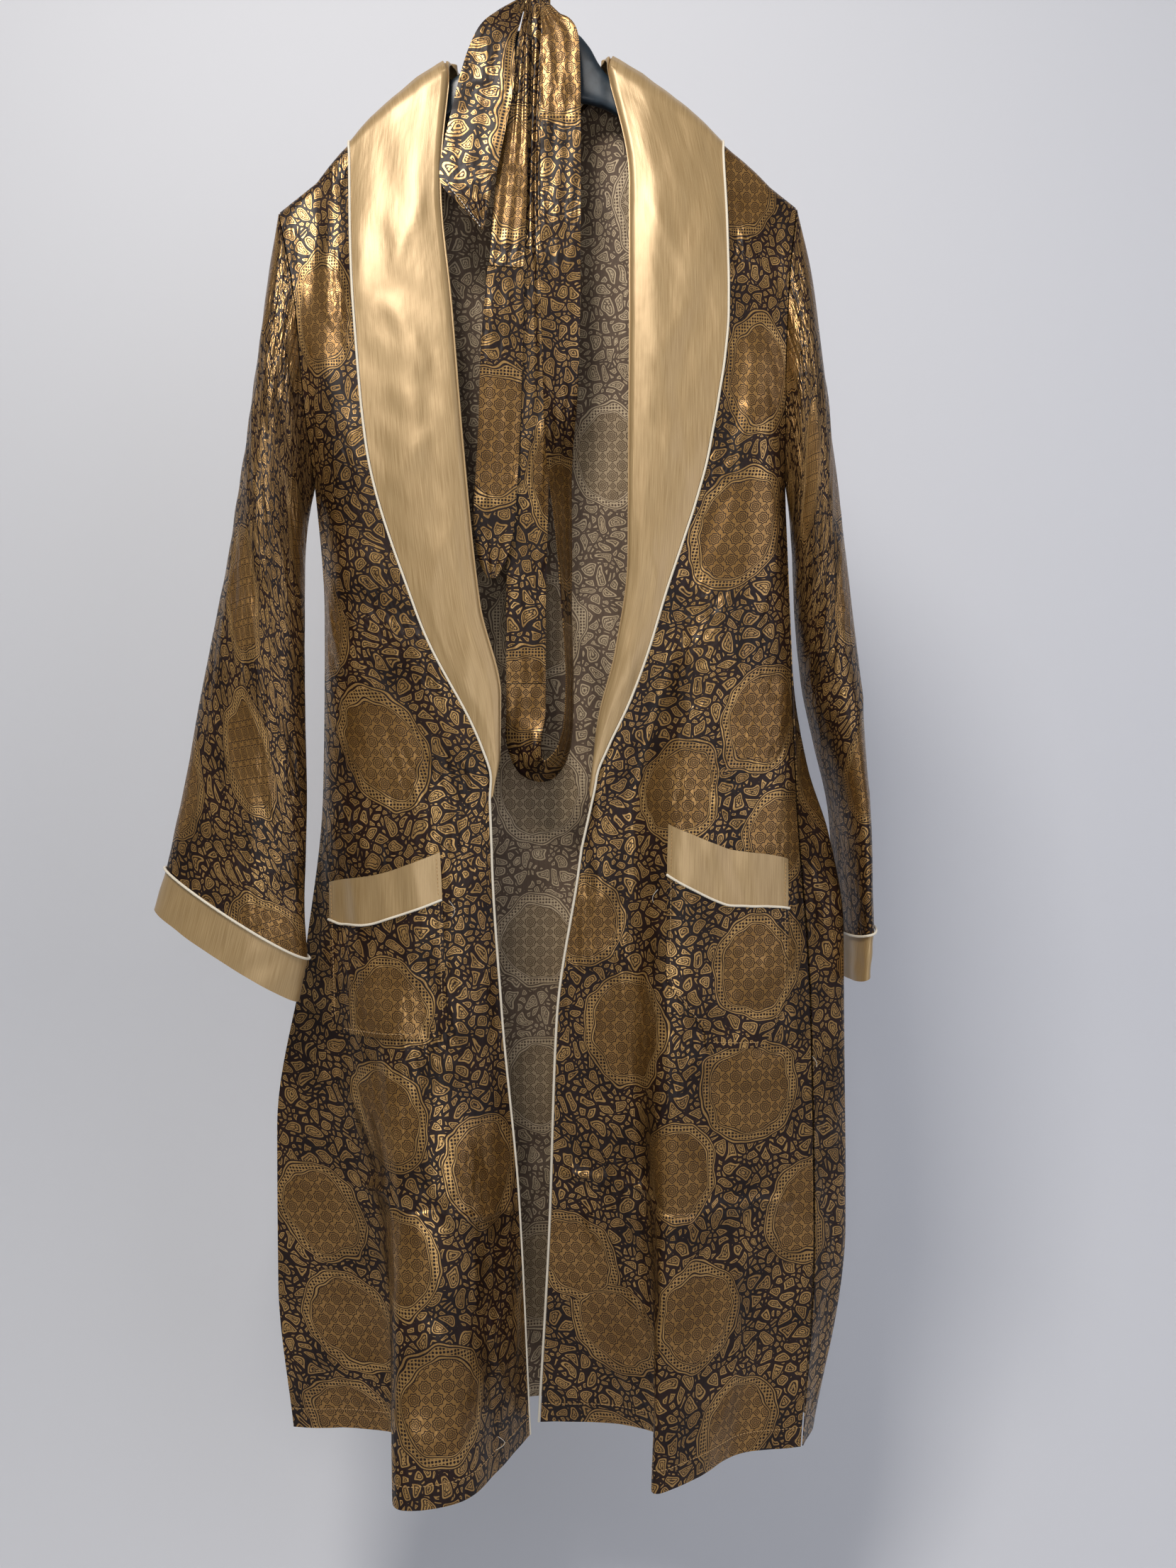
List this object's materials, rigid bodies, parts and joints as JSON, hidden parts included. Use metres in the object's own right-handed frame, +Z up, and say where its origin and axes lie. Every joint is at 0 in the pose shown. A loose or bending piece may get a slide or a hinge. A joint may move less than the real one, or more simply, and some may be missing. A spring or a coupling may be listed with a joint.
{
  "type": "silk robe on a coat hanger",
  "caption": "Long shawl collar dressing gown of paisley satin with gold satin collar, cuffs and pocket bands, hung open on a moulded coat hanger with its belt over the hook.",
  "frame": {"origin": "inside the top of the hanger's hook, where it rests on a rail or a peg", "axes": "+Z up, +Y towards the robe's back, +X towards the wearer's left sleeve"},
  "size_m": [0.6297, 0.2326, 1.3339],
  "materials": {
    "paisley_satin": "dark brown jacquard satin with gold paisley and round lattice medallions, its wrong side matt and paler",
    "gold_satin": "plain gold satin with a strong soft sheen",
    "cream_piping": "cream satin bias piping over a cord",
    "hanger_plastic": "dark slate moulded plastic, satin",
    "hook_steel": "bright plated wire"
  },
  "bodies": {
    "root": {"back": "paisley_satin", "right_front": "paisley_satin", "left_front": "paisley_satin", "right_sleeve": "paisley_satin", "left_sleeve": "paisley_satin", "right_cuff": "gold_satin", "left_cuff": "gold_satin", "right_cuff_piping": "cream_piping", "left_cuff_piping": "cream_piping", "right_collar": "gold_satin", "left_collar": "gold_satin", "right_edge_piping": "cream_piping", "left_edge_piping": "cream_piping", "right_pocket": "paisley_satin", "left_pocket": "paisley_satin", "right_pocket_band": "gold_satin", "left_pocket_band": "gold_satin", "right_pocket_piping": "cream_piping", "left_pocket_piping": "cream_piping", "belt_left_fall": "paisley_satin", "belt_middle_fall": "paisley_satin", "belt_end": "paisley_satin", "belt_back_strand": "paisley_satin", "belt_right_fall": "paisley_satin", "belt_loop": "paisley_satin", "belt_wrap": "paisley_satin", "hanger_body": "hanger_plastic", "hanger_hook": "hook_steel"}
  },
  "joints": []
}
